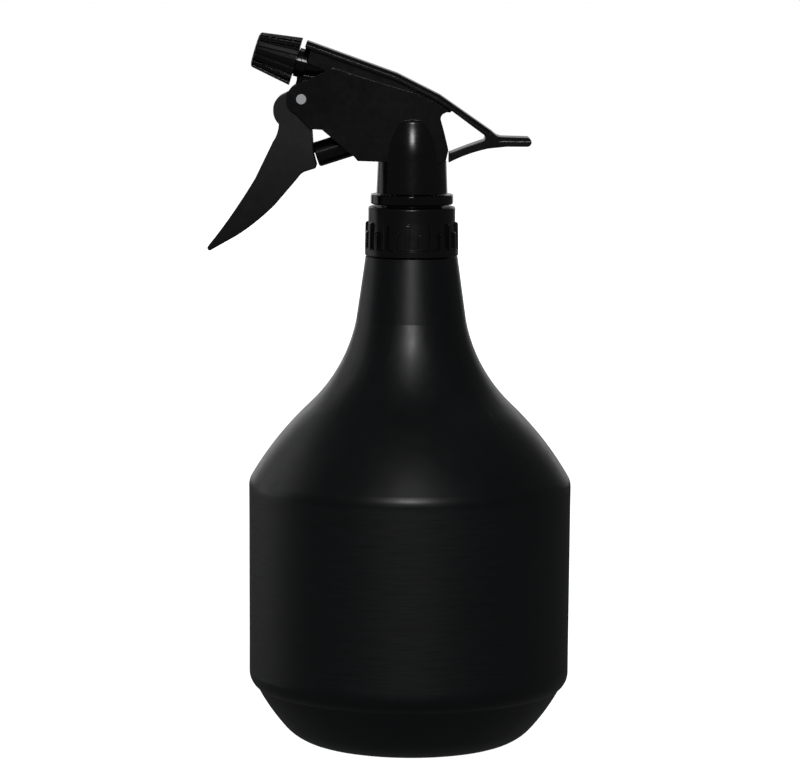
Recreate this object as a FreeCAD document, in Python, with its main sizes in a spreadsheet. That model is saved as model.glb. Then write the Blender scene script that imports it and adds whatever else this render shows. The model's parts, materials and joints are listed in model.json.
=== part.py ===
import FreeCAD, Part

import math
import os
import re

import Sketcher

# A one litre hand mister: a blow-moulded bottle, a screw collar and a trigger pump head.
# Millimetres. +Z runs up the bottle's axis from the middle of its base, and the nozzle points to -X.

SIZES = {
    # bottle
    "bottle_r": (56.9, "largest radius, at the top of the straight panel"),
    "panel_draft": (0.3, "how much narrower the panel is at its foot"),
    "bowl_in": (26.4, "how far inside the largest radius the ring it stands on is"),
    "base_ring_wide": (3.5, "width of that ring"),
    "push_up": (3.0, "height of the hollow under the base"),
    "heel_round": (18.2, "radius of the heel"),
    "heel_angle": (48.5, "turn of the heel, degrees"),
    "crease_z": (19.9, "height of the crease between bowl and panel"),
    "foot_round": (6.6, "rounding of the panel's lower edge"),
    "foot_angle": (55.0, "turn of that rounding, degrees"),
    "shoulder_z": (91.8, "height where the panel ends"),
    "shoulder_round": (6.5, "rounding of the shoulder's edge"),
    "shoulder_angle": (30.0, "turn of that rounding, degrees"),
    "waist_r": (35.85, "radius where the shoulder turns hollow"),
    "waist_z": (120.45, "height of that point"),
    "throat_r": (19.37, "radius where the long neck starts"),
    "throat_z": (150.3, "height of that point"),
    "neck_r": (16.2, "radius at the top of the long neck"),
    "neck_z": (172.8, "height of the neck's shoulder"),
    "wall": (1.0, "wall of the bottle"),
    "rim_high": (13.2, "height of the threaded finish above the shoulder"),
    "finish_r": (12.4, "root radius of the bottle's thread"),
    "mouth_r": (10.9, "bore of the bottle's mouth"),
    "thread_lead": (4.23, "rise of the bottle thread in one turn"),
    "thread_deep": (1.3, "height of the bottle's thread ridge"),
    "thread_rise": (5.9, "climb of the thread from its start to its end"),
    # collar and gasket
    "gasket_thick": (1.1, "thickness of the sealing washer"),
    "face_gap": (0.05, "gap between faces that only touch when screwed tight"),
    "loose": (0.3, "gap between pieces that move past each other"),
    "collar_r": (15.3, "radius of the collar's plain band"),
    "collar_wall": (1.7, "thickness of the collar's top wall"),
    "collar_bore_r": (14.1, "root radius of the collar's thread"),
    "collar_lip_r": (16.4, "radius of the lip round the collar's foot"),
    "collar_lip_high": (2.2, "height of that lip"),
    "collar_band": (5.3, "plain band above the longer ribs"),
    "rib_step": (3.1, "how much lower the shorter ribs end"),
    "rib_wide": (1.25, "width of a rib"),
    "rib_proud": (1.15, "how far a rib stands out of the band"),
    "rib_count": (12.0, "pairs of one long and one short rib"),
    "rib_phase": (-4.9, "turn of the ribs about the axis, degrees"),
    # head, upright part
    "retainer_thick": (1.2, "thickness of the tube retainer's flange"),
    "retainer_r": (13.0, "radius of that flange"),
    "foot_r": (10.8, "radius of the body where it passes the collar"),
    "flange_r": (14.55, "radius of the body's ring above the collar"),
    "flange_thick": (3.6, "thickness of that ring"),
    "collar_gap": (0.8, "gap between collar and ring"),
    "stem_r": (5.6, "radius of the upright tube"),
    "socket_r": (4.4, "bore that takes the tube retainer"),
    "socket_up": (6.8, "height above the ring's underside where that bore ends"),
    "ball_r": (2.4, "radius of the inlet ball"),
    "ball_bore_r": (3.0, "bore that the ball lifts in"),
    "ball_lift": (1.2, "lift of the ball"),
    "passage_r": (1.7, "bore of the passages"),
    # cheeks
    "cheek_in": (7.2, "distance of a cheek's inner face from the middle plane"),
    "cheek_thick": (1.3, "thickness of a cheek"),
    "skirt_r": (12.5, "radius of the neck skirt at its foot"),
    "skirt_top_r": (12.0, "radius of the neck skirt where its crown starts"),
    "crown_up": (16.6, "height above the ring's underside where the crown starts"),
    "crown_high": (13.3, "height of the crown"),
    "crown_edge_r": (9.0, "radius at the crown's top edge"),
    # pump
    "pump_x": (-33.73, "place of the piston's front face, along X"),
    "pump_up": (17.07, "height of that face above the ring's underside"),
    "pump_tilt": (18.0, "climb of the pump's axis towards the back, degrees"),
    "cylinder_r": (6.2, "outer radius of the pump cylinder"),
    "bore_r": (5.2, "bore of the pump cylinder"),
    "mouth_at": (14.4, "distance from the piston's front face to the cylinder's mouth"),
    "bore_end": (30.4, "distance from there to the end of the bore"),
    "piston_r": (4.4, "radius of the piston's skirt"),
    "piston_long": (19.0, "length of the piston"),
    "seal_root_r": (3.9, "radius under the piston seals"),
    "seal_fit": (0.03, "running clearance of a seal"),
    "spring_r": (3.3, "mean radius of the return spring"),
    "spring_wire": (0.4, "radius of its wire"),
    "spring_turns": (5.0, "turns of the return spring"),
    "tongue_half": (2.5, "half width of the piston's tongue"),
    "link_back": (3.2, "distance of the link pin ahead of the piston's face"),
    "link_up": (2.6, "distance of the link pin above the pump's axis"),
    "link_r": (1.5, "radius of the link pin"),
    "link_half": (6.1, "half length of the link pin"),
    # trigger
    "pivot_x": (-38.8, "place of the trigger's pivot along X"),
    "pivot_up": (36.8, "height of the trigger's pivot above the ring's underside"),
    "pivot_r": (1.75, "radius of the pivot pin"),
    "pivot_fit": (0.06, "running clearance of the trigger on its pin"),
    "swing": (22.0, "pull of the trigger, degrees"),
    "trigger_half": (6.9, "half width of the trigger at its ears"),
    "trigger_tip_half": (4.6, "half width of the trigger at its tip"),
    "ear_thick": (1.7, "thickness of the trigger's ears"),
    "trigger_taper_r": (349.0, "radius of the curve that narrows the trigger to its tip"),
    "tip_wall": (1.2, "thickness of the trigger's sides near its tip"),
    # nozzle
    "nozzle_x": (-39.05, "place of the body's front face on the nozzle axis, along X"),
    "nozzle_up": (49.1, "height of that point above the ring's underside"),
    "nozzle_tilt": (16.5, "climb of the nozzle axis towards the front, degrees"),
    "tube_r": (4.4, "outer radius of the discharge tube"),
    "tube_rear_r": (2.9, "outer radius of its thinner rear length"),
    "tube_step": (24.0, "distance of the step in the tube behind the front face"),
    "tube_long": (39.4, "length of the discharge tube behind the front face"),
    "front_flange_r": (5.65, "radius of the flange at the front face"),
    "front_flange_thick": (1.8, "thickness of that flange"),
    "nozzle_stem_r": (4.4, "radius of the stem that the cap turns on"),
    "nozzle_ring_r": (5.1, "radius of the collar that the cap closes on"),
    "nozzle_stem_long": (11.1, "length of that stem"),
    "core_r": (3.4, "radius of the swirl core"),
    "valve_bore_r": (2.6, "bore that holds the outlet valve"),
    "cap_gap": (1.9, "gap between the body and the nozzle cap"),
    "cap_long": (15.0, "length of the nozzle cap"),
    "cap_rear_r": (8.6, "radius of the cap at its rear"),
    "cap_front_r": (6.3, "radius of the cap at its front"),
    "cap_wall": (2.4, "thickness of the cap's front wall"),
    "flute_deep": (0.75, "depth of the cap's flutes"),
    "flute_count": (16.0, "ribs round the cap"),
    "orifice_r": (0.45, "radius of the spray hole"),
    "cap_lead": (3.0, "advance of the cap in one turn"),
    # dip tube
    "dip_r": (3.0, "outer radius of the dip tube"),
    "dip_bore_r": (2.2, "bore of the dip tube"),
    "strainer_r": (4.3, "outer radius of the strainer"),
    "strainer_long": (11.0, "length of the strainer"),
    # cover
    "roof_half": (7.5, "half width of the top cover"),
    "roof_thick": (2.2, "thickness of the top cover"),
    "roof_wall_half": (5.7, "half width over the cover's side walls"),
    "roof_wall": (1.1, "thickness of those walls"),
    "roof_bevel": (1.2, "bevel along the cover's top edges"),
    "tail_x": (41.6, "place of the tail's end along X"),
    "tail_up": (23.8, "height of the tail's top face above the ring's underside"),
    "tail_thick": (3.1, "thickness of the tail"),
}

# Sizes that follow from others, each written with sizes and other derived ones.
DERIVED = {
    "base_ring_r": "(bottle_r - bowl_in)",
    "rim_z": "(neck_z + rim_high)",
    "retainer_z": "(rim_z + gasket_thick + 2 * face_gap)",
    "retainer_top": "(retainer_z + retainer_thick)",
    "collar_roof": "(retainer_top + loose)",
    "collar_top": "(collar_roof + collar_wall)",
    "flange_z": "(collar_top + collar_gap)",
    "socket_top": "(flange_z + socket_up)",
    "crown_z": "(flange_z + crown_up)",
    "pump_z": "(flange_z + pump_up)",
    "pivot_z": "(flange_z + pivot_up)",
    "nozzle_z": "(flange_z + nozzle_up)",
    "tail_z": "(flange_z + tail_up)",
    "stem_top": "(nozzle_z + nozzle_x * tan(nozzle_tilt * 1 deg) + 0.65)",
}

TANGENT = "tangent"
doc = FreeCAD.newDocument("hand_mister")
pieces = []


def fill_sheet():
    """Put every driving size in the sheet, under an alias."""
    sheet = doc.addObject("Spreadsheet::Sheet", "sizes")
    for row, (alias, (number, meaning)) in enumerate(SIZES.items(), start=1):
        sheet.set("A%d" % row, alias)
        sheet.set("B%d" % row, str(number))
        sheet.setAlias("B%d" % row, alias)
        sheet.set("C%d" % row, meaning)
    doc.recompute()
    return sheet


def spelled(expression):
    """Write every derived name out in driving sizes."""
    def whole(match):
        word = match.group(0)
        return spelled(DERIVED[word]) if word in DERIVED else word
    return re.sub(r"[a-z][a-z0-9_]*", whole, str(expression))


def bound(expression):
    """The same expression as another object of the document refers to it."""
    def linked(match):
        word = match.group(0)
        return "sizes." + word if word in SIZES else word
    return re.sub(r"[a-z][a-z0-9_]*", linked, spelled(expression))


def value(expression):
    """The number that an expression has now."""
    return float(sizes.evalExpression(spelled(expression)))


def new_body(name):
    body = doc.addObject("PartDesign::Body", name)
    body.Label = name
    pieces.append(body)
    return body


def origin_plane(body, role):
    return next(plane for plane in body.Origin.OriginFeatures if plane.Role == role)


def arc_between(start, end, heading, radius):
    """Centre, radius and turn of an arc: leaving along a heading, or of a signed radius (+ turns left)."""
    along = end - start
    if heading is not None:
        cross = heading.x * along.y - heading.y * along.x
        radius = along.dot(along) / (2.0 * cross)
        left = FreeCAD.Vector(-heading.y, heading.x, 0)
        return start + left * radius, abs(radius), radius > 0
    half = along.Length / 2.0
    reach = math.sqrt(max(radius * radius - half * half, 0.0))
    left = FreeCAD.Vector(-along.y, along.x, 0) / along.Length
    side = 1.0 if radius > 0 else -1.0
    return start + along / 2.0 + left * reach * side, abs(radius), radius > 0


def heading_after(end, centre, turns_left):
    """The direction in which an arc arrives at its end."""
    spoke = (end - centre).normalize()
    side = 1.0 if turns_left else -1.0
    return FreeCAD.Vector(-spoke.y, spoke.x, 0) * side


def profile(*points):
    """Outline of a head moulding: numbers are steps along X and above the underside of the body's ring."""
    def spot(x, z, *arc):
        x = x if isinstance(x, str) else "%g" % x
        z = z if isinstance(z, str) else "flange_z + %g" % z
        return (x, z, *(str(item) for item in arc))
    return [spot(*point) for point in points]


def placed_sketch(body, plane, at=("0", "0"), lift="0", turn="0"):
    """An empty sketch on one of the body's own planes, moved and turned in that plane."""
    sketch = body.newObject("Sketcher::SketchObject", body.Name + "_sketch")
    sketch.AttachmentSupport = [(origin_plane(body, plane), "")]
    sketch.MapMode = "FlatFace"
    sketch.AttachmentOffset = FreeCAD.Placement(
        FreeCAD.Vector(value(at[0]), value(at[1]), value(lift)),
        FreeCAD.Rotation(FreeCAD.Vector(0, 0, 1), value(turn)),
    )
    sketch.setExpression("AttachmentOffset.Base.x", bound(at[0]))
    sketch.setExpression("AttachmentOffset.Base.y", bound(at[1]))
    sketch.setExpression("AttachmentOffset.Base.z", bound(lift))
    if turn != "0":
        sketch.setExpression("AttachmentOffset.Rotation.Angle", bound(turn))
    return sketch


def drawn(body, plane, outline, **placing):
    """A closed outline, as a sketch on one of the body's own planes.

    A point is (x, y), (x, y, TANGENT) or (x, y, radius), where the third item makes the edge that
    ends there an arc: tangent to the edge before it, or of a radius that is minus when it turns right.
    """
    sketch = placed_sketch(body, plane, **placing)
    places = [FreeCAD.Vector(value(point[0]), value(point[1]), 0) for point in outline]
    ends = []
    heading = None
    for index, point in enumerate(outline):
        start = places[index - 1]
        end = places[index]
        if len(point) == 2:
            sketch.addGeometry(Part.LineSegment(start, end), False)
            heading = (end - start).normalize()
            ends.append((1, 2))
            continue
        if point[2] == TANGENT:
            centre, radius, left = arc_between(start, end, heading, None)
        else:
            centre, radius, left = arc_between(start, end, None, value(point[2]))
        first, last = (start, end) if left else (end, start)
        circle = Part.Circle(centre, FreeCAD.Vector(0, 0, 1), radius)
        arc = Part.ArcOfCircle(circle, circle.parameter(first), circle.parameter(last))
        sketch.addGeometry(arc, False)
        ends.append((1, 2) if left else (2, 1))
        heading = heading_after(end, centre, left)
    for index, point in enumerate(outline):
        following = (index + 1) % len(outline)
        joined = (index, ends[index][1], following, ends[following][0])
        smooth = len(outline[following]) > 2 and outline[following][2] == TANGENT
        kind = "Tangent" if smooth else "Coincident"
        sketch.addConstraint(Sketcher.Constraint(kind, *joined))
        tie_point(sketch, index, ends[index][1], point, places[index])
        if len(point) > 2 and point[2] != TANGENT:
            number = sketch.addConstraint(Sketcher.Constraint("Radius", index, abs(value(point[2]))))
            sketch.setExpression("Constraints[%d]" % number, bound("abs(%s)" % point[2]))
    return sketch


def tie_point(sketch, edge, end, point, place):
    """Hold one corner of a sketch at its two expressions."""
    for direction, expression, number in (("DistanceX", point[0], place.x), ("DistanceY", point[1], place.y)):
        if expression == "0":
            axis = -2 if direction == "DistanceX" else -1
            sketch.addConstraint(Sketcher.Constraint("PointOnObject", edge, end, axis))
            continue
        made = sketch.addConstraint(Sketcher.Constraint(direction, -1, 1, edge, end, number))
        sketch.setExpression("Constraints[%d]" % made, bound(expression))


def circle_sketch(body, plane, centre, radius, **placing):
    """A sketch of one circle."""
    sketch = placed_sketch(body, plane, **placing)
    place = FreeCAD.Vector(value(centre[0]), value(centre[1]), 0)
    sketch.addGeometry(Part.Circle(place, FreeCAD.Vector(0, 0, 1), value(radius)), False)
    tie_point(sketch, 0, 3, centre, place)
    number = sketch.addConstraint(Sketcher.Constraint("Radius", 0, value(radius)))
    sketch.setExpression("Constraints[%d]" % number, bound(radius))
    return sketch


def turned(body, sketch, angle=360.0, remove=False, flip=False, axis="V_Axis"):
    kind = "PartDesign::Groove" if remove else "PartDesign::Revolution"
    feature = body.newObject(kind, body.Name + ("_groove" if remove else "_turned"))
    feature.Profile = sketch
    feature.ReferenceAxis = (sketch, [axis])
    feature.Angle = angle
    feature.Reversed = flip
    return feature


def padded(body, sketch, length, symmetric=True, flip=False):
    feature = body.newObject("PartDesign::Pad", body.Name + "_pad")
    feature.Profile = sketch
    feature.SideType = "Symmetric" if symmetric else "One side"
    feature.setExpression("Length", bound(length))
    feature.Reversed = flip
    return feature


def pocketed(body, sketch, length, symmetric=True, flip=False):
    feature = body.newObject("PartDesign::Pocket", body.Name + "_pocket")
    feature.Profile = sketch
    feature.SideType = "Symmetric" if symmetric else "One side"
    feature.setExpression("Length", bound(length))
    feature.Reversed = flip
    return feature


def repeated(body, features, count, sketch, axis="V_Axis"):
    """Copy features round an axis of a sketch."""
    pattern = body.newObject("PartDesign::PolarPattern", body.Name + "_pattern")
    pattern.Originals = features
    pattern.Axis = (sketch, [axis])
    pattern.Angle = 360.0
    pattern.setExpression("Occurrences", bound(count))
    body.Tip = pattern
    return pattern


def coiled(body, sketch, pitch, rise, flip=False):
    feature = body.newObject("PartDesign::AdditiveHelix", body.Name + "_helix")
    feature.Profile = sketch
    feature.ReferenceAxis = (sketch, ["V_Axis"])
    feature.Mode = "pitch-height-angle"
    feature.setExpression("Pitch", bound(pitch))
    feature.setExpression("Height", bound(rise))
    feature.Reversed = flip
    return feature


def ring(name, inner, outer, low, high, **placing):
    """A plain turned ring or tube."""
    body = new_body(name)
    outline = [(inner, low), (outer, low), (outer, high), (inner, high)]
    turned(body, drawn(body, "XZ_Plane", outline, **placing))
    return body


def bevelled(body, start, end, half, size):
    """Bevel both upper edges along a straight run of a moulding of a given half width."""
    low = FreeCAD.Vector(value(start[0]), 0, value(start[1]))
    high = FreeCAD.Vector(value(end[0]), 0, value(end[1]))
    run = high - low
    slope = math.degrees(math.atan2(run.z, run.x))
    middle = ("(%s + %s) / 2" % (start[1], end[1]), "(%s + %s) / 2" % (start[0], end[0]))
    for flank in ("1", "-1"):
        corner = [
            (flank + " * (%s - %s - 1)" % (half, size), "1"),
            (flank + " * (%s + 1)" % half, "-(%s) - 1" % size),
            (flank + " * (%s + 1)" % half, "1"),
        ]
        sketch = drawn(body, "YZ_Plane", corner, at=("0", middle[0]), lift=middle[1])
        sketch.AttachmentOffset = FreeCAD.Placement(
            sketch.AttachmentOffset.Base, FreeCAD.Rotation(FreeCAD.Vector(1, 0, 0), -slope))
        pocketed(body, sketch, "%.3f" % run.Length)


# ---------------------------------------------------------------- bottle

def bottle():
    """Blow-moulded bottle: bowl, straight panel, sloping shoulder, long neck and threaded finish."""
    body = new_body("bottle")
    heel_sin = "sin(heel_angle * 1 deg)"
    heel_cos = "cos(heel_angle * 1 deg)"
    panel_foot_r = "bottle_r - panel_draft"
    panel_foot_z = "crease_z + foot_round * sin(foot_angle * 1 deg)"
    crease_r = "bottle_r - panel_draft - foot_round * (1 - cos(foot_angle * 1 deg))"
    edge_sin = "sin(shoulder_angle * 1 deg)"
    edge_cos = "cos(shoulder_angle * 1 deg)"
    edge_r = "bottle_r - shoulder_round * (1 - %s)" % edge_cos
    edge_z = "shoulder_z + shoulder_round * %s" % edge_sin
    outside = [
        ("base_ring_r - base_ring_wide", "0"),
        ("base_ring_r", "0"),
        ("base_ring_r + heel_round * " + heel_sin, "heel_round * (1 - %s)" % heel_cos, TANGENT),
        (crease_r, "crease_z", TANGENT),
        (panel_foot_r, panel_foot_z, "foot_round"),
        ("bottle_r", "shoulder_z"),
        (edge_r, edge_z, TANGENT),
        ("waist_r", "waist_z", TANGENT),
        ("throat_r", "throat_z", TANGENT),
        ("neck_r", "neck_z"),
        ("finish_r", "neck_z"),
        ("finish_r", "rim_z"),
    ]
    lean = 0.7
    inside = [
        ("mouth_r", "rim_z"),
        ("mouth_r", "neck_z - 2 * wall"),
        ("neck_r - 1.5 * wall", "neck_z - 4 * wall"),
        ("throat_r - wall", "throat_z"),
        ("waist_r - %g * wall" % lean, "waist_z - %g * wall" % lean, TANGENT),
        (edge_r + " - wall * " + edge_cos, edge_z + " - wall * " + edge_sin),
        ("bottle_r - wall", "shoulder_z", "-(shoulder_round - wall)"),
        (panel_foot_r + " - wall", panel_foot_z),
        (crease_r + " - wall", "crease_z + wall / 2"),
        ("base_ring_r + (heel_round - wall) * " + heel_sin,
         "heel_round - (heel_round - wall) * " + heel_cos),
        ("base_ring_r", "wall", "-(heel_round - wall)"),
        ("0", "push_up + wall"),
        ("0", "push_up"),
    ]
    turned(body, drawn(body, "XZ_Plane", outside + inside))
    ridge = [
        ("finish_r - 0.2", "neck_z + 3.0"),
        ("finish_r + thread_deep", "neck_z + 3.5"),
        ("finish_r + thread_deep", "neck_z + 4.1"),
        ("finish_r - 0.2", "neck_z + 4.9"),
    ]
    coiled(body, drawn(body, "XZ_Plane", ridge), "thread_lead", "thread_rise")
    return body


# ---------------------------------------------------------------- collar

def collar():
    """Ribbed screw collar with an inward top wall."""
    body = new_body("collar")
    foot = "neck_z + loose + 0.3"
    lip_top = foot + " + collar_lip_high"
    shell = [
        ("collar_bore_r", foot),
        ("collar_lip_r", foot),
        ("collar_lip_r", lip_top),
        ("collar_r + 0.25", lip_top + " + 0.4"),
        ("collar_r", "collar_top - collar_band"),
        ("collar_r", "collar_top - 0.7"),
        ("collar_r - 0.7", "collar_top", "0.7"),
        ("foot_r + loose", "collar_top"),
        ("foot_r + loose", "collar_roof"),
        ("collar_bore_r", "collar_roof"),
    ]
    whole = drawn(body, "XZ_Plane", shell)
    turned(body, whole)

    rib_top = "collar_top - collar_band"
    long = [
        ("collar_r - 0.6", lip_top + " - 0.3"),
        ("collar_r + rib_proud", lip_top + " - 0.3"),
        ("collar_r + rib_proud - 0.15", rib_top + " - 0.9"),
        ("collar_r + rib_proud - 1.0", rib_top, "0.9"),
        ("collar_r - 0.6", rib_top),
    ]
    long_rib = padded(body, drawn(body, "XZ_Plane", long), "rib_wide")
    repeated(body, [long_rib], "rib_count", whole)
    short = [
        ("-(collar_r + rib_proud)", lip_top + " - 0.3"),
        ("-(collar_r - 0.6)", lip_top + " - 0.3"),
        ("-(collar_r - 0.6)", rib_top + " - rib_step"),
        ("-(collar_r + rib_proud - 1.0)", rib_top + " - rib_step"),
        ("-(collar_r + rib_proud - 0.1)", rib_top + " - rib_step - 0.9", "0.9"),
    ]
    turned_plane = body.newObject("PartDesign::Plane", "short_rib_plane")
    turned_plane.AttachmentSupport = [(origin_plane(body, "XZ_Plane"), "")]
    turned_plane.MapMode = "FlatFace"
    turned_plane.AttachmentOffset = FreeCAD.Placement(
        FreeCAD.Vector(0, 0, 0), FreeCAD.Rotation(FreeCAD.Vector(0, 1, 0), 15.0))
    short_sketch = drawn(body, "XZ_Plane", short)
    short_sketch.AttachmentSupport = [(turned_plane, "")]
    short_rib = padded(body, short_sketch, "rib_wide")
    repeated(body, [short_rib], "rib_count", whole)
    ridge_low = "neck_z + 4.05 + thread_lead / 2"
    ridge = [
        ("collar_bore_r + 0.2", ridge_low + " - 0.75"),
        ("collar_bore_r + 0.2", ridge_low + " + 0.75"),
        ("collar_bore_r - 1.15", ridge_low + " + 0.35"),
        ("collar_bore_r - 1.15", ridge_low + " - 0.35"),
    ]
    coiled(body, drawn(body, "XZ_Plane", ridge), "thread_lead", "thread_rise - 0.9")
    body.Placement = FreeCAD.Placement(
        FreeCAD.Vector(0, 0, 0), FreeCAD.Rotation(FreeCAD.Vector(0, 0, 1), value("rib_phase")))
    body.setExpression("Placement.Rotation.Angle", bound("rib_phase"))
    return body


# ---------------------------------------------------------------- head, upright parts

PUMP = {"at": ("pump_x", "pump_z"), "turn": "pump_tilt - 90"}
NOZZLE = {"at": ("nozzle_x", "nozzle_z"), "turn": "90 - nozzle_tilt"}


def pump_body():
    """Main moulding: foot, ring, upright tube, sloping cylinder and discharge tube in one piece."""
    body = new_body("pump_body")
    upright = [
        ("0", "retainer_top"),
        ("foot_r", "retainer_top"),
        ("foot_r", "flange_z"),
        ("flange_r - 0.5", "flange_z"),
        ("flange_r", "flange_z + 0.5"),
        ("flange_r", "flange_z + flange_thick - 0.6"),
        ("flange_r - 0.6", "flange_z + flange_thick", "0.6"),
        ("stem_r", "flange_z + flange_thick"),
        ("stem_r", "stem_top - 5"),
        ("stem_r - 1.6", "stem_top - 5"),
        ("stem_r - 1.6", "stem_top"),
        ("0", "stem_top"),
    ]
    turned(body, drawn(body, "XZ_Plane", upright))
    cylinder = [("0", "mouth_at"), ("cylinder_r", "mouth_at"), ("cylinder_r", "bore_end + 3"), ("0", "bore_end + 3")]
    turned(body, drawn(body, "XZ_Plane", cylinder, **PUMP))
    tube = [
        ("0", "-tube_long"),
        ("tube_rear_r", "-tube_long"),
        ("tube_rear_r", "-tube_step"),
        ("tube_r", "-tube_step"),
        ("tube_r", "-front_flange_thick"),
        ("front_flange_r", "-front_flange_thick"),
        ("front_flange_r", "0"),
        ("nozzle_ring_r", "0"),
        ("nozzle_ring_r", "cap_gap - loose"),
        ("nozzle_stem_r", "cap_gap - loose"),
        ("nozzle_stem_r", "nozzle_stem_long - 0.5"),
        ("nozzle_stem_r - 0.5", "nozzle_stem_long"),
        ("0", "nozzle_stem_long"),
    ]
    turned(body, drawn(body, "XZ_Plane", tube, **NOZZLE))
    lug_r = "pivot_r + 1.8"
    lug = [
        ("pivot_x - 1.2", "pivot_z + 8.5"),
        ("pivot_x - (%s)" % lug_r, "pivot_z"),
        ("pivot_x + (%s)" % lug_r, "pivot_z", lug_r + " + 0.0001"),
        ("pivot_x + (%s) + 2" % lug_r, "pivot_z + 7.5"),
    ]
    padded(body, drawn(body, "XZ_Plane", lug), "7")
    foot_bore = [
        ("0", "retainer_top - 1"),
        ("socket_r", "retainer_top - 1"),
        ("socket_r", "socket_top"),
        ("ball_bore_r", "socket_top"),
        ("ball_bore_r", "socket_top + 3.4"),
        ("passage_r", "socket_top + 3.4"),
        ("passage_r", "stem_top - 1.1"),
        ("0", "stem_top - 1.1"),
    ]
    turned(body, drawn(body, "XZ_Plane", foot_bore), remove=True)
    bore = [
        ("0", "mouth_at - 1"),
        ("bore_r", "mouth_at - 1"),
        ("bore_r", "bore_end"),
        ("passage_r", "bore_end"),
        ("passage_r", "bore_end + 4.5"),
        ("0", "bore_end + 4.5"),
    ]
    turned(body, drawn(body, "XZ_Plane", bore, **PUMP), remove=True)
    outlet = [
        ("0", "0.5 - tube_long"),
        ("passage_r", "0.5 - tube_long"),
        ("passage_r", "-6"),
        ("valve_bore_r", "-6"),
        ("valve_bore_r", "2"),
        ("core_r", "2"),
        ("core_r", "nozzle_stem_long + 1"),
        ("0", "nozzle_stem_long + 1"),
    ]
    turned(body, drawn(body, "XZ_Plane", outlet, **NOZZLE), remove=True)
    hole = circle_sketch(body, "XZ_Plane", ("pivot_x", "pivot_z"), "pivot_r + pivot_fit")
    pocketed(body, hole, "20")
    return body


def tube_retainer():
    """Flanged bush pushed up into the body: clamps the collar, holds the dip tube and seats the ball."""
    body = new_body("tube_retainer")
    outline = [
        ("dip_r", "retainer_z - 4"),
        ("dip_r + 1.5", "retainer_z - 4"),
        ("dip_r + 1.5", "retainer_z"),
        ("retainer_r", "retainer_z"),
        ("retainer_r", "retainer_top"),
        ("socket_r", "retainer_top"),
        ("socket_r", "socket_top"),
        ("ball_bore_r", "socket_top"),
        ("1.5", "socket_top + 1.5 - ball_bore_r"),
        ("1.5", "retainer_top + 4"),
        ("dip_r", "retainer_top + 4"),
    ]
    turned(body, drawn(body, "XZ_Plane", outline))
    return body


def inlet_ball():
    """Ball that lets water up and not down, resting on the retainer's cone."""
    body = new_body("inlet_ball")
    middle = "socket_top - ball_bore_r + ball_r * 1.41422 + 0.03"
    ball = body.newObject("PartDesign::AdditiveSphere", "inlet_ball_sphere")
    ball.AttachmentSupport = [(origin_plane(body, "XY_Plane"), "")]
    ball.MapMode = "FlatFace"
    ball.setExpression("Radius", bound("ball_r"))
    ball.AttachmentOffset = FreeCAD.Placement(FreeCAD.Vector(0, 0, value(middle)), FreeCAD.Rotation())
    ball.setExpression("AttachmentOffset.Base.z", bound(middle))
    return body


def dip_tube():
    return ring("dip_tube", "dip_bore_r", "dip_r", "push_up + wall + 3.5", "retainer_top + 4")


def tube_strainer():
    """Slotted cup pushed on the end of the dip tube."""
    body = new_body("tube_strainer")
    low = "push_up + wall + 1.2"
    outline = [
        ("0", low),
        ("strainer_r - 0.8", low),
        ("strainer_r", low + " + 0.8"),
        ("strainer_r", low + " + strainer_long"),
        ("dip_r", low + " + strainer_long"),
        ("dip_r", low + " + 1.1"),
        ("0", low + " + 1.1"),
    ]
    cup = drawn(body, "XZ_Plane", outline)
    turned(body, cup)
    slot = [
        ("dip_r - 0.6", low + " + 1.1"),
        ("strainer_r + 1", low + " + 1.1"),
        ("strainer_r + 1", low + " + 2.3"),
        ("dip_r - 0.6", low + " + 2.3"),
    ]
    cut = pocketed(body, drawn(body, "XZ_Plane", slot), "1.6")
    repeated(body, [cut], "6", cup)
    return body


def neck_gasket():
    return ring("neck_gasket", "mouth_r - 2", "retainer_r", "rim_z + face_gap", "rim_z + face_gap + gasket_thick")


# ---------------------------------------------------------------- cheeks and cover

CHEEK = profile(
    ("pivot_x - 1.8", "pivot_z + 5.0"),
    ("pivot_x - 1.8", "pivot_z - 5.0", 5.35),
    (-35.4, 26.4),
    (-31.5, 26.2),
    (-29.1, 24.2),
    (-20.2, 16.8),
    (-19.0, 15.4),
    (-11.0, 15.2),
    (11.6, 15.2),
    (12.6, 19.4),
    (11.1, 25.4),
    (9.9, 29.6),
    (10.5, 31.9, -2.4),
    (12.4, 32.9),
    (7.9, 36.0),
    (1.2, 39.1),
    (-14.9, 43.7),
    (-26.0, 47.2),
    (-29.4, 47.0, 3.2),
    (-33.8, 45.0),
    (-38.2, 43.3, -7),
)
SKIRT_CUT = "flange_z + 15.2"


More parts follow.
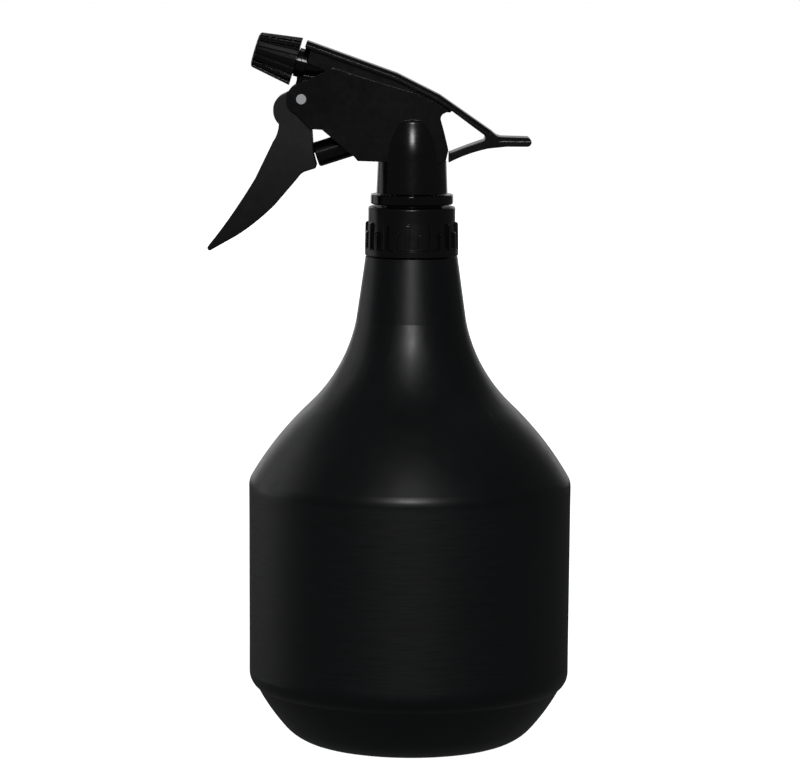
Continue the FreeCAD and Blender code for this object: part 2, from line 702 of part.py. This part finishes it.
def cheek(name, far):
    """One side of the shroud: a flat cheek with half of the neck skirt and its crown."""
    body = new_body(name)
    side = 1.0 if far else -1.0
    skirt_foot = "flange_z + flange_thick + loose"
    crown = [
        ("skirt_r", skirt_foot),
        ("skirt_top_r", "crown_z"),
        ("crown_edge_r + 0.5", "crown_z + crown_high - 1.3", TANGENT),
        ("crown_edge_r - 1", "crown_z + crown_high", "1.5"),
        ("0", "crown_z + crown_high"),
        ("0", "crown_z + crown_high - cheek_thick"),
        ("crown_edge_r - 1", "crown_z + crown_high - cheek_thick"),
        ("skirt_top_r - cheek_thick", "crown_z"),
        ("skirt_r - cheek_thick", skirt_foot),
    ]
    turned(body, drawn(body, "XZ_Plane", crown), angle=180.0, flip=not far)
    inner = [
        ("-skirt_r - 1", SKIRT_CUT),
        ("skirt_r + 1", SKIRT_CUT),
        ("skirt_r + 1", "crown_z + crown_high + 1"),
        ("-skirt_r - 1", "crown_z + crown_high + 1"),
    ]
    pocketed(body, drawn(body, "XZ_Plane", inner), "cheek_in", symmetric=False, flip=not far)
    plate = drawn(body, "XZ_Plane", CHEEK, lift="%g * cheek_in" % -side)
    padded(body, plate, "cheek_thick", symmetric=False, flip=far)
    hole = circle_sketch(body, "XZ_Plane", ("pivot_x", "pivot_z"), "pivot_r")
    pocketed(body, hole, "60")
    return body


def top_cover():
    """Roof strip that runs on into the hanging frame and tail, with two side walls at the front."""
    body = new_body("top_cover")
    tail_low = "tail_z - tail_thick"
    outline = profile(
        (-36.9, 57.0),
        (-37.6, "flange_z + 57.0 - roof_thick"),
        (-6.1, "flange_z + 45.9 - roof_thick"),
        (8.6, "flange_z + 38.6 - roof_thick"),
        (14.2, 32.6),
        (24.6, 25.0),
        (24.9, 22.7, -1.4),
        (18.4, 20.4),
        (12.8, 18.2),
        (12.7, 15.0),
        (26.5, 20.0, -55),
        (33.0, tail_low),
        ("tail_x - tail_thick / 2", tail_low),
        ("tail_x - tail_thick / 2", "tail_z", "tail_thick / 2 + 0.0001"),
        (31.2, "tail_z + 0.2"),
        (28.0, 25.7, -4.5),
        (9.6, 38.4),
        (-5.3, 45.8),
    )
    padded(body, drawn(body, "XZ_Plane", outline), "2 * roof_half")
    walls = profile(
        (-35.4, 55.0),
        (-36.9, 49.3),
        (-31.0, 46.8),
        (-27.0, 42.8),
        (0.5, 36.3),
        (8.6, 32.6),
        (13.2, 32.4),
        (13.9, 33.3),
        (8.4, 37.0),
        (-6.0, 44.2),
    )
    padded(body, drawn(body, "XZ_Plane", walls), "2 * roof_wall_half")
    hollow = profile(
        (-38.2, 54.7),
        (-40.6, 44.8),
        (-31.0, 42.8),
        (-27.0, 40.8),
        (0.5, 33.3),
        (9.5, 30.3),
        (12.4, 30.3),
        (12.4, 33.8),
        (8.6, "flange_z + 38.6 - roof_thick"),
        (-6.1, "flange_z + 45.9 - roof_thick"),
    )
    pocketed(body, drawn(body, "XZ_Plane", hollow), "2 * (roof_wall_half - roof_wall)")
    for start, end in (((-60.0, 65.18), (20.0, 36.83)), ((-23.0, 54.59), (27.0, 29.75)), ((8.0, 39.5), (27.5, 26.05)),
                       ((30.5, 23.8), (45.0, 23.8))):
        bevelled(body, *profile(start, end), "roof_half", "roof_bevel")
    return body


# ---------------------------------------------------------------- trigger and pins

def trigger():
    """Curved lever with a U section, two ears on the pivot pin and a slot in each ear for the link pin."""
    body = new_body("trigger")
    side = profile(
        ("pivot_x + 1.5", "pivot_z + 4.0"),
        ("pivot_x - 1.7", "pivot_z + 3.9", 3.9),
        (-44.8, 38.5),
        (-48.6, 33.1, 5.5),
        (-46.6, 28.0, 6.5),
        (-48.75, 21.7, -12),
        (-54.75, 9.2),
        (-62.9, -3.6, -190),
        (-71.5, -15.2, -190),
        (-70.6, -16.5, 0.9),
        (-61.0, -11.0),
        (-47.9, -0.2, 80),
        (-39.8, 9.4),
        (-37.4, 11.5, -5),
        (-34.0, 12.6),
        (-33.5, 13.8, 1.0),
        (-34.6, 17.8),
        (-35.1, 25.8),
        ("pivot_x + 4.2", "pivot_z - 2"),
        ("pivot_x + 4.1", "pivot_z + 1.2"),
    )
    padded(body, drawn(body, "XZ_Plane", side), "2 * trigger_half")
    taper_top = "flange_z + 22.8"
    taper_foot = "flange_z - 17.2"
    for flank in ("1", "-1"):
        taper = [
            (flank + " * trigger_half", taper_top),
            (flank + " * trigger_tip_half", taper_foot, "-%s * trigger_taper_r" % flank),
            (flank + " * (trigger_half + 3)", taper_foot),
            (flank + " * (trigger_half + 3)", taper_top),
        ]
        pocketed(body, drawn(body, "YZ_Plane", taper), "400")
    upper = profile(
        ("pivot_x + 8", "pivot_z + 8"),
        ("pivot_x - 4.4", "pivot_z + 8"),
        (-44.5, 37.6),
        (-46.9, 32.8),
        (-44.9, 27.8),
        (-47.1, 21.7, -12),
        (-52.9, 9.8),
        (-30.0, 9.8),
    )
    pocketed(body, drawn(body, "XZ_Plane", upper), "2 * (trigger_half - ear_thick)")
    lower = profile(
        (-30.0, 9.8),
        (-52.9, 9.8),
        (-61.2, -3.3, -190),
        (-66.5, -10.6, -190),
        (-60.0, -15.2),
        (-30.0, -15.2),
    )
    pocketed(body, drawn(body, "XZ_Plane", lower), "2 * (trigger_tip_half - tip_wall)")
    hole = circle_sketch(body, "XZ_Plane", ("pivot_x", "pivot_z"), "pivot_r + pivot_fit")
    pocketed(body, hole, "60")
    link_x, link_z = link_place()
    slot_turn = math.degrees(math.atan2(link_x - value("pivot_x"), value("pivot_z") - link_z))
    reach = math.hypot(link_x - value("pivot_x"), value("pivot_z") - link_z)
    slot = [
        ("-(link_r + 0.3)", "%.4f + link_r + 0.9" % -reach),
        ("-(link_r + 0.3)", "%.4f - link_r - 0.3" % -reach),
        ("link_r + 0.3", "%.4f - link_r - 0.3" % -reach),
        ("link_r + 0.3", "%.4f + link_r + 0.9" % -reach),
    ]
    sketch = drawn(body, "XZ_Plane", slot, at=("pivot_x", "pivot_z"), turn="%.4f" % slot_turn)
    pocketed(body, sketch, "2 * (link_half + 0.25)")
    return body


def link_place():
    """Where the link pin is at rest, from the pump's axis."""
    tilt = math.radians(value("pump_tilt"))
    x = value("pump_x") - value("link_back") * math.cos(tilt) - value("link_up") * math.sin(tilt)
    z = value("pump_z") - value("link_back") * math.sin(tilt) + value("link_up") * math.cos(tilt)
    return x, z


def cross_pin(name, radius, half, **placing):
    body = new_body(name)
    padded(body, circle_sketch(body, "XZ_Plane", ("0", "0"), radius, **placing), "2 * (%s)" % half)
    return body


# ---------------------------------------------------------------- pump parts

def piston():
    """Piston with two seal grooves and a flat tongue for the link pin."""
    body = new_body("piston")
    outline = [
        ("0", "0"),
        ("piston_r - 0.5", "0"),
        ("piston_r", "0.5"),
        ("piston_r", "mouth_at + 0.4"),
        ("seal_root_r", "mouth_at + 0.4"),
        ("seal_root_r", "mouth_at + 1.4"),
        ("piston_r + 0.4", "mouth_at + 1.4"),
        ("piston_r + 0.4", "piston_long - 2.0"),
        ("seal_root_r", "piston_long - 2.0"),
        ("seal_root_r", "piston_long - 0.6"),
        ("piston_r + 0.2", "piston_long - 0.6"),
        ("piston_r + 0.2", "piston_long"),
        ("0", "piston_long"),
    ]
    turned(body, drawn(body, "XZ_Plane", outline, **PUMP))
    tongue = [
        ("-(link_up - 1.7)", "0.6"),
        ("-(link_up + 1.7)", "0.6"),
        ("-(link_up + 1.7)", "-link_back"),
        ("-(link_up - 1.7)", "-link_back", "1.70001"),
    ]
    padded(body, drawn(body, "XZ_Plane", tongue, **PUMP), "2 * tongue_half")
    hole = circle_sketch(body, "XZ_Plane", ("-link_up", "-link_back"), "link_r", **PUMP)
    pocketed(body, hole, "4 * tongue_half")
    return body


def seals():
    reach = "bore_r - seal_fit"
    ring("piston_wiper", "seal_root_r", reach, "mouth_at + 0.4", "mouth_at + 1.4", **PUMP)
    ring("piston_seal", "seal_root_r", reach, "piston_long - 2.0", "piston_long - 0.6", **PUMP)


def spring(name, mean_r, wire, low, rise, turns, frame):
    """A round-wire compression spring along a tilted axis."""
    body = new_body(name)
    section = circle_sketch(body, "XZ_Plane", (mean_r, low), wire, **frame)
    coiled(body, section, "(%s) / (%s)" % (rise, turns), rise)
    return body


# ---------------------------------------------------------------- nozzle

def outlet_valve():
    """Poppet that closes the discharge tube until the pump pushes it open."""
    body = new_body("outlet_valve")
    outline = [("0", "-5.95"), ("2.3", "-5.95"), ("2.3", "-5.0"), ("0.9", "-5.0"), ("0.9", "-1"), ("0", "-1")]
    turned(body, drawn(body, "XZ_Plane", outline, **NOZZLE))
    return body


def nozzle_core():
    """Swirl core pushed into the nozzle stem, with feed grooves down its sides."""
    body = new_body("nozzle_core")
    outline = [
        ("0", "2.05"),
        ("core_r", "2.05"),
        ("core_r", "nozzle_stem_long"),
        ("core_r - 0.6", "nozzle_stem_long + 0.6"),
        ("1.2", "nozzle_stem_long + 0.6"),
        ("1.0", "nozzle_stem_long - 0.2"),
        ("0", "nozzle_stem_long - 0.2"),
    ]
    whole = drawn(body, "XZ_Plane", outline, **NOZZLE)
    turned(body, whole)
    groove = [
        ("core_r - 0.8", "1"),
        ("core_r + 1", "1"),
        ("core_r + 1", "nozzle_stem_long + 2"),
        ("core_r - 0.8", "nozzle_stem_long + 2"),
    ]
    cut = pocketed(body, drawn(body, "XZ_Plane", groove, **NOZZLE), "1.4")
    repeated(body, [cut], "3", whole)
    return body


def nozzle_cap():
    """Fluted cap that turns to change the spray, with the spray hole at its front."""
    body = new_body("nozzle_cap")
    rear = "cap_gap"
    front = "cap_gap + cap_long"
    shell = [
        ("nozzle_ring_r + loose", rear),
        ("cap_rear_r - flute_deep", rear),
        ("cap_front_r - flute_deep", front + " - 0.7"),
        ("cap_front_r - flute_deep - 0.7", front, "0.7"),
        ("1.6", front),
        ("orifice_r", front + " - cap_wall / 2"),
        ("orifice_r", front + " - cap_wall"),
        ("nozzle_stem_r + loose", front + " - cap_wall"),
        ("nozzle_stem_r + loose", "2 * cap_gap - loose"),
        ("nozzle_ring_r + loose", "2 * cap_gap - loose"),
    ]
    whole = drawn(body, "XZ_Plane", shell, **NOZZLE)
    turned(body, whole)
    rib = [
        ("cap_rear_r - flute_deep - 0.8", rear),
        ("cap_rear_r", rear),
        ("cap_front_r", front + " - 0.9"),
        ("cap_front_r - flute_deep - 0.5", front + " - 0.1", "1.4"),
        ("cap_front_r - flute_deep - 0.5", front + " - 3"),
    ]
    bar = padded(body, drawn(body, "XZ_Plane", rib, **NOZZLE), "1.5")
    repeated(body, [bar], "flute_count", whole)
    return body


def nozzle_seal():
    front_wall = "cap_gap + cap_long - cap_wall"
    return ring("nozzle_seal", "1.6", "nozzle_stem_r + loose - 0.05", front_wall + " - 0.95", front_wall + " - 0.05",
                **NOZZLE)


def build():
    bottle()
    collar()
    neck_gasket()
    pump_body()
    tube_retainer()
    inlet_ball()
    dip_tube()
    tube_strainer()
    cheek("left_cheek", False)
    cheek("right_cheek", True)
    top_cover()
    trigger()
    link_x, link_z = link_place()
    cross_pin("pivot_pin", "pivot_r", "cheek_in + cheek_thick + 0.15", at=("pivot_x", "pivot_z"))
    cross_pin("link_pin", "link_r", "link_half", at=("%.5f" % link_x, "%.5f" % link_z))
    piston()
    seals()
    spring("return_spring", "spring_r", "spring_wire", "piston_long + spring_wire + 0.05",
           "bore_end - piston_long - 2 * spring_wire - 0.1", "spring_turns", PUMP)
    outlet_valve()
    spring("outlet_spring", "1.7", "0.25", "-4.7", "6.4", "5", NOZZLE)
    nozzle_core()
    nozzle_seal()
    nozzle_cap()


def check_and_write():
    """Stop on any failed object, then write one file for each piece."""
    doc.recompute()
    for item in doc.Objects:
        if "Invalid" in item.State or "Error" in item.State:
            raise ValueError("failed object: %s %s" % (item.Name, item.State))
    for piece in pieces:
        shape = piece.Shape
        if shape.isNull() or not shape.isValid() or not shape.Solids:
            raise ValueError("bad shape: " + piece.Label)
        print("%-16s solids %d volume %10.2f  %s" % (piece.Label, len(shape.Solids), shape.Volume, shape.BoundBox))
    os.makedirs("parts", exist_ok=True)
    for piece in pieces:
        piece.Shape.exportStep("parts/%s.step" % piece.Label)


sizes = fill_sheet()
build()
check_and_write()
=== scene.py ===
import json
import math

import bpy
from mathutils import Matrix, Vector


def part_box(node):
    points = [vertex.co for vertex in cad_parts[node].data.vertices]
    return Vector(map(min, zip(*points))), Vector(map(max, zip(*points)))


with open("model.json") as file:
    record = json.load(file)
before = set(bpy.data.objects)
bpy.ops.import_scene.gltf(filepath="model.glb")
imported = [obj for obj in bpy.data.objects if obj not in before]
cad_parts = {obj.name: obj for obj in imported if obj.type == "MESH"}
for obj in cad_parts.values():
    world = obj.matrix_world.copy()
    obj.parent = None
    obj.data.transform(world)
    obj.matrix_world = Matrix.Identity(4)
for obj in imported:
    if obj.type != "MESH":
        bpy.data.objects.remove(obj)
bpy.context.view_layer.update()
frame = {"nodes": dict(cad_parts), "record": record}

MM = 0.001
scene = bpy.context.scene

BOTTLE_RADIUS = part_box("bottle")[1][0]


# ---------------------------------------------------------------- shader helpers

class Shader:
    """A node material that is written one plain call at a time."""

    def __init__(self, name):
        self.material = bpy.data.materials.new(name)
        self.material.use_nodes = True
        self.nodes = self.material.node_tree.nodes
        self.nodes.clear()
        self.surface = self.nodes.new("ShaderNodeBsdfPrincipled")
        output = self.nodes.new("ShaderNodeOutputMaterial")
        self.join(self.surface.outputs["BSDF"], output.inputs["Surface"])

    def join(self, out_socket, in_socket):
        self.material.node_tree.links.new(out_socket, in_socket)

    def feed(self, target, value):
        """Give an input a number, a tuple or another node's output."""
        if isinstance(value, bpy.types.NodeSocket):
            self.join(value, target)
        else:
            target.default_value = value

    def math(self, operation, *values):
        made = self.nodes.new("ShaderNodeMath")
        made.operation = operation
        for slot, value in zip(made.inputs, values):
            self.feed(slot, value)
        return made.outputs[0]

    def vector_math(self, operation, *values):
        made = self.nodes.new("ShaderNodeVectorMath")
        made.operation = operation
        for slot, value in zip(made.inputs, values):
            self.feed(slot, value)
        return made.outputs["Value" if operation == "DOT_PRODUCT" else "Vector"]

    def place(self):
        """The object's own coordinates, in metres."""
        return self.nodes.new("ShaderNodeTexCoord").outputs["Object"]

    def split(self, vector):
        made = self.nodes.new("ShaderNodeSeparateXYZ")
        self.join(vector, made.inputs[0])
        return made.outputs

    def combined(self, *values):
        made = self.nodes.new("ShaderNodeCombineXYZ")
        for slot, value in zip(made.inputs, values):
            self.feed(slot, value)
        return made.outputs[0]

    def around(self, radius):
        """Coordinates of a skin round the Z axis: distance round it, distance out, height."""
        x, y, z = self.split(self.place())
        angle = self.math("ARCTAN2", y, x)
        squares = self.math("ADD", self.math("MULTIPLY", x, x), self.math("MULTIPLY", y, y))
        out = self.math("POWER", squares, 0.5)
        return self.combined(self.math("MULTIPLY", angle, radius), out, z)

    def noise(self, scale, detail=3.0, where=None, stretch=(1, 1, 1), roughness=0.55):
        mapping = self.nodes.new("ShaderNodeMapping")
        mapping.inputs["Scale"].default_value = stretch
        self.join(where or self.place(), mapping.inputs["Vector"])
        texture = self.nodes.new("ShaderNodeTexNoise")
        texture.inputs["Scale"].default_value = scale
        texture.inputs["Detail"].default_value = detail
        texture.inputs["Roughness"].default_value = roughness
        self.join(mapping.outputs["Vector"], texture.inputs["Vector"])
        return texture.outputs["Fac"]

    def ranged(self, factor, low, high, from_low=0.3, from_high=0.7):
        """Turn one range of numbers into another, held at its ends."""
        made = self.nodes.new("ShaderNodeMapRange")
        made.inputs["From Min"].default_value = from_low
        made.inputs["From Max"].default_value = from_high
        self.feed(made.inputs["To Min"], low)
        self.feed(made.inputs["To Max"], high)
        self.feed(made.inputs["Value"], factor)
        return made.outputs["Result"]

    def colour(self, factor, first, second):
        made = self.nodes.new("ShaderNodeMix")
        made.data_type = "RGBA"
        self.feed(made.inputs[0], factor)
        for slot, value in ((made.inputs[6], first), (made.inputs[7], second)):
            self.feed(slot, value if isinstance(value, bpy.types.NodeSocket) else (*value, 1.0))
        return made.outputs[2]

    def rounded(self, radius):
        """The normal with every sharp edge eased by a small radius."""
        made = self.nodes.new("ShaderNodeBevel")
        made.samples = 6
        made.inputs["Radius"].default_value = radius
        return made.outputs["Normal"]

    def edge(self, normal):
        """How near a point is to a sharp edge: 0 on a face, 1 on the edge."""
        flat = self.nodes.new("ShaderNodeNewGeometry").outputs["Normal"]
        return self.ranged(self.vector_math("DOT_PRODUCT", normal, flat), 1.0, 0.0, 0.86, 0.998)

    def bumped(self, normal, height, strength, distance):
        made = self.nodes.new("ShaderNodeBump")
        made.inputs["Strength"].default_value = strength
        made.inputs["Distance"].default_value = distance
        self.join(height, made.inputs["Height"])
        self.join(normal, made.inputs["Normal"])
        return made.outputs["Normal"]

    def set(self, **values):
        for name, value in values.items():
            self.feed(self.surface.inputs[name.replace("_", " ")], value)


# ---------------------------------------------------------------- materials

def moulded(name, dark, light, rough, grain=0.10, ease=0.25 * MM, highlight_strength=0.5, metallic=0.0):
    """Moulded plastic: slow shifts of tone and gloss, fine grain, flow marks, eased edges and a painted
    highlight that makes the edges paler.
    """
    shader = Shader(name)
    slow = shader.noise(70.0, 4.0)
    flow = shader.noise(380.0, 5.0)
    fine = shader.noise(2600.0, 2.0)
    normal = shader.rounded(ease)
    tone = shader.colour(shader.ranged(slow, 0.0, 1.0), dark, light)
    # Painted highlight: sharp edges are lightened in the base colour towards a paler copy of the light tone,
    # patchy along the flow noise.
    edge_highlight = shader.math("MULTIPLY", shader.edge(normal), shader.ranged(flow, 0.2 * highlight_strength, highlight_strength))
    pale = tuple(min(0.9, part * 2.2 + 0.006) for part in light)
    shader.set(Base_Color=shader.colour(edge_highlight, tone, pale))
    shader.set(Roughness=shader.ranged(shader.math("ADD", shader.math("MULTIPLY", flow, 0.6),
                                                   shader.math("MULTIPLY", slow, 0.4)), *rough))
    shader.surface.inputs["Metallic"].default_value = metallic
    normal = shader.bumped(normal, fine, grain, 0.03 * MM)
    normal = shader.bumped(normal, flow, grain, 0.06 * MM)
    shader.set(Normal=normal)
    return shader.material


def bottle_plastic():
    """Blown satin plastic: fine level scratches on the straight panel, a smooth bowl, a parting line."""
    shader = Shader("bottle_satin")
    skin = shader.around(BOTTLE_RADIUS)
    height = shader.split(shader.place())[2]
    panel_low, panel_high, soft = 26.5 * MM, 91.0 * MM, 1.0 * MM
    above = shader.ranged(height, 0.0, 1.0, panel_low - soft, panel_low + soft)
    below = shader.ranged(height, 1.0, 0.0, panel_high - soft, panel_high + soft)
    panel = shader.math("MULTIPLY", above, below)
    slow = shader.noise(35.0, 4.0, skin)
    cloud = shader.noise(160.0, 5.0, skin)
    pebble = shader.noise(1500.0, 3.0)
    streak = shader.noise(260.0, 5.0, skin, (0.35, 1.0, 7.0), 0.65)
    tone = shader.colour(shader.ranged(slow, 0.0, 1.0), (0.0028, 0.0033, 0.0042), (0.0042, 0.0049, 0.0061))
    scratched = shader.math("MULTIPLY", panel, shader.ranged(streak, 0.0, 0.7))
    tone = shader.colour(scratched, tone, (0.0066, 0.0073, 0.0088))
    shader.set(Base_Color=tone)
    smooth = shader.ranged(cloud, 0.33, 0.40)
    matte = shader.ranged(streak, 0.40, 0.52)
    shader.set(Roughness=shader.math("ADD", shader.math("MULTIPLY", matte, panel),
                                     shader.math("MULTIPLY", smooth, shader.math("SUBTRACT", 1.0, panel))))
    normal = shader.rounded(0.2 * MM)
    normal = shader.bumped(normal, pebble, 0.12, 0.05 * MM)
    normal = shader.bumped(normal, shader.math("MULTIPLY", streak, panel), 0.35, 0.05 * MM)
    # Where the two halves of the mould met: a fine raised line in one upright plane, clear of the panel.
    x, y, _ = shader.split(shader.place())
    turn = math.radians(41.0)
    along_x = shader.math("MULTIPLY", x, math.sin(turn))
    along_y = shader.math("MULTIPLY", y, math.cos(turn))
    across = shader.math("ADD", along_x, along_y)
    line_half = 0.22 * MM
    line = shader.ranged(shader.math("ABSOLUTE", across), 1.0, 0.0, 0.0, line_half)
    line = shader.math("MULTIPLY", line, shader.math("SUBTRACT", 1.0, panel))
    normal = shader.bumped(normal, line, 0.9, 0.10 * MM)
    shader.set(Normal=normal)
    return shader.material


MATERIALS = {
    "bottle": bottle_plastic(),
    "collar": moulded("collar_plastic", (0.0030, 0.0030, 0.0034), (0.0045, 0.0045, 0.0050), (0.24, 0.33)),
    "body": moulded("body_gloss", (0.0025, 0.0025, 0.0028), (0.0040, 0.0040, 0.0044), (0.10, 0.16), 0.05),
    "cheek": moulded("cheek_gloss", (0.0032, 0.0032, 0.0036), (0.0050, 0.0050, 0.0055), (0.17, 0.26), 0.08),
    "cover": moulded("cover_gloss", (0.0032, 0.0032, 0.0036), (0.0050, 0.0050, 0.0055), (0.20, 0.30), 0.08,
                     ease=0.5 * MM),
    "trigger": moulded("trigger_satin", (0.0042, 0.0042, 0.0044), (0.0062, 0.0062, 0.0064), (0.34, 0.46),
                       0.14, ease=0.6 * MM),
    "nozzle": moulded("nozzle_gloss", (0.0025, 0.0025, 0.0028), (0.0040, 0.0040, 0.0044), (0.12, 0.20), 0.05),
    # The pale plastics and the steel below get a fainter painted edge highlight.
    "white_plastic": moulded("white_acetal", (0.78, 0.79, 0.80), (0.86, 0.87, 0.88), (0.25, 0.35), 0.05,
                             highlight_strength=0.1),
    "natural_plastic": moulded("natural_plastic", (0.66, 0.66, 0.62), (0.78, 0.78, 0.74), (0.32, 0.42), 0.06,
                               highlight_strength=0.1),
    "seal_rubber": moulded("seal_rubber", (0.018, 0.018, 0.018), (0.032, 0.031, 0.030), (0.55, 0.70), 0.2),
    "spring_steel": moulded("spring_steel", (0.50, 0.50, 0.51), (0.66, 0.66, 0.67), (0.24, 0.34), 0.05,
                            ease=0.05 * MM, highlight_strength=0.1, metallic=1.0),
}

slot_of = {part["node"]: part["material_slot"] for part in frame["record"]["subparts"]}
for name, cad in frame["nodes"].items():
    cad.data.materials.clear()
    cad.data.materials.append(MATERIALS[slot_of[name]])


# ---------------------------------------------------------------- stage, light and camera

def soft_box(name, azimuth, elevation, distance, wide, high, radiance, target=(0, 0, 0.13)):
    """A rectangular light aimed at the object. Azimuth 0 is the camera's side, 90 is +X."""
    turn = math.radians(azimuth)
    climb = math.radians(elevation)
    away = Vector((math.sin(turn) * math.cos(climb), -math.cos(turn) * math.cos(climb), math.sin(climb)))
    data = bpy.data.lights.new(name, "AREA")
    data.shape = "RECTANGLE"
    data.size = wide
    data.size_y = high
    data.energy = radiance * math.pi * wide * high
    lamp = bpy.data.objects.new(name, data)
    lamp.location = Vector(target) + away * distance
    lamp.rotation_euler = away.to_track_quat("Z", "Y").to_euler()
    scene.collection.objects.link(lamp)
    return lamp


def floor():
    """A plain pale floor, bright enough to run into the white surroundings."""
    half = 4.0
    mesh = bpy.data.meshes.new("floor")
    corners = [(-half, -half, 0), (half, -half, 0), (half, half, 0), (-half, half, 0)]
    mesh.from_pydata(corners, [], [(0, 1, 2, 3)])
    made = bpy.data.objects.new("floor", mesh)
    shader = Shader("floor_paper")
    shader.set(Base_Color=shader.colour(shader.noise(3.0), (0.90, 0.90, 0.90), (0.93, 0.93, 0.93)))
    shader.surface.inputs["Roughness"].default_value = 0.95
    shader.surface.inputs["Specular IOR Level"].default_value = 0.0
    shader.surface.inputs["Emission Color"].default_value = (1, 1, 1, 1)
    shader.surface.inputs["Emission Strength"].default_value = 1.05
    mesh.materials.append(shader.material)
    made.visible_glossy = False
    made.visible_diffuse = False
    scene.collection.objects.link(made)


def surroundings():
    """White where the camera looks past the object, dim where the object is lit from."""
    world = bpy.data.worlds.new("studio")
    world.use_nodes = True
    nodes = world.node_tree.nodes
    links = world.node_tree.links
    room = nodes["Background"]
    room.inputs["Color"].default_value = (0.96, 0.98, 1.0, 1)
    room.inputs["Strength"].default_value = 0.07
    seen = nodes.new("ShaderNodeBackground")
    seen.inputs["Color"].default_value = (1, 1, 1, 1)
    seen.inputs["Strength"].default_value = 1.0
    path = nodes.new("ShaderNodeLightPath")
    mix = nodes.new("ShaderNodeMixShader")
    links.new(path.outputs["Is Camera Ray"], mix.inputs[0])
    links.new(room.outputs[0], mix.inputs[1])
    links.new(seen.outputs[0], mix.inputs[2])
    links.new(mix.outputs[0], nodes["World Output"].inputs["Surface"])
    scene.world = world
    scene.view_settings.view_transform = "Standard"


def camera():
    """Long lens, a little above the middle of the object, looking along +Y."""
    pitch = math.radians(6.6)
    roll = math.radians(0.385)
    distance = 1.4
    view_width = 282.48 * MM
    target = Vector((-3.73, 0.0, 125.23)) * MM
    right = Vector((1, 0, 0))
    up = Vector((0, math.sin(pitch), math.cos(pitch)))
    back = right.cross(up)
    data = bpy.data.cameras.new("camera")
    data.sensor_width = 36.0
    data.lens = data.sensor_width * distance / view_width
    data.clip_start = 0.05
    data.clip_end = 50.0
    made = bpy.data.objects.new("camera", data)
    axes = Matrix((right, up, back)).transposed() @ Matrix.Rotation(roll, 3, "Z")
    made.matrix_world = Matrix.Translation(target + back * distance) @ axes.to_4x4()
    scene.collection.objects.link(made)
    scene.camera = made


floor()
surroundings()
camera()
soft_box("key", 0, 26, 2.6, 0.50, 0.62, 18.0)
soft_box("streak", 0, 46, 2.7, 0.60, 0.9, 1.6)
soft_box("left_fill", -118, 12, 2.4, 1.8, 2.0, 0.42)
soft_box("left_rim", -160, 14, 2.6, 0.9, 1.6, 0.55)
soft_box("right_rim", 160, 14, 2.6, 0.7, 1.6, 0.35)
soft_box("back_fill", 180, 14, 2.6, 2.6, 1.6, 0.45)
soft_box("top_fill", 180, 62, 2.2, 1.2, 0.8, 0.8)
